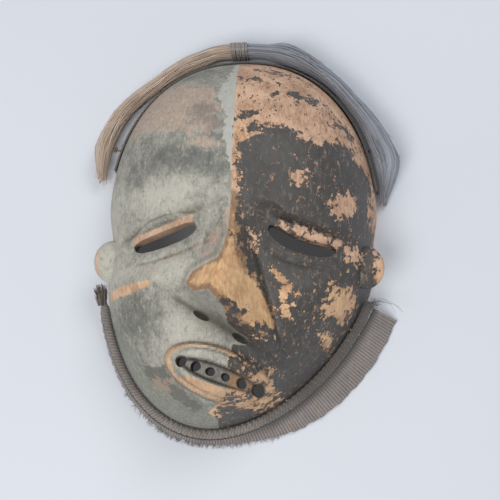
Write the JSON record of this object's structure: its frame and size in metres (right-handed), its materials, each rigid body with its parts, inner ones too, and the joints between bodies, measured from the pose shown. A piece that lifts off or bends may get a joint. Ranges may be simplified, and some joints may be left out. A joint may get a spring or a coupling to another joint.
{
  "type": "carved wooden face mask",
  "caption": "Hollow carved wooden face mask with slit eyes, a wedge nose and an open mouth, a two-tone fibre coif round the top and a ribbed cloth collar round the jaw.",
  "frame": {"origin": "middle of the opening that the wearer's face goes into, in the plane of the rim's back", "axes": "+Z out of the face, +Y to the crown, +X to the black half, which is the left side of the person who wears it"},
  "size_m": [0.2244, 0.2958, 0.1162],
  "materials": {
    "painted_wood": "hand carved, chalky pale paint on one half and worn black paint over tan wood on the other",
    "natural_fibre": "combed undyed leaf fibre",
    "dyed_fibre": "combed leaf fibre dyed black",
    "band_weave": "coarse plain weave",
    "tie_thread": "twisted fibre thread",
    "binding_cord": "wound fibre cord",
    "collar_cloth": "ribbed woven leaf fibre",
    "collar_welt": "rolled ribbed cloth, overcast with thread",
    "frayed_thread": "loose frayed thread ends"
  },
  "bodies": {
    "root": {"face_shell": "painted_wood", "coif_natural": "natural_fibre", "coif_dyed": "dyed_fibre", "coif_band": "band_weave", "coif_ties": "tie_thread", "crown_binding": "binding_cord", "collar_cloth": "collar_cloth", "collar_welt": "collar_welt", "collar_ties": "tie_thread", "collar_tuft": "frayed_thread"}
  },
  "joints": []
}
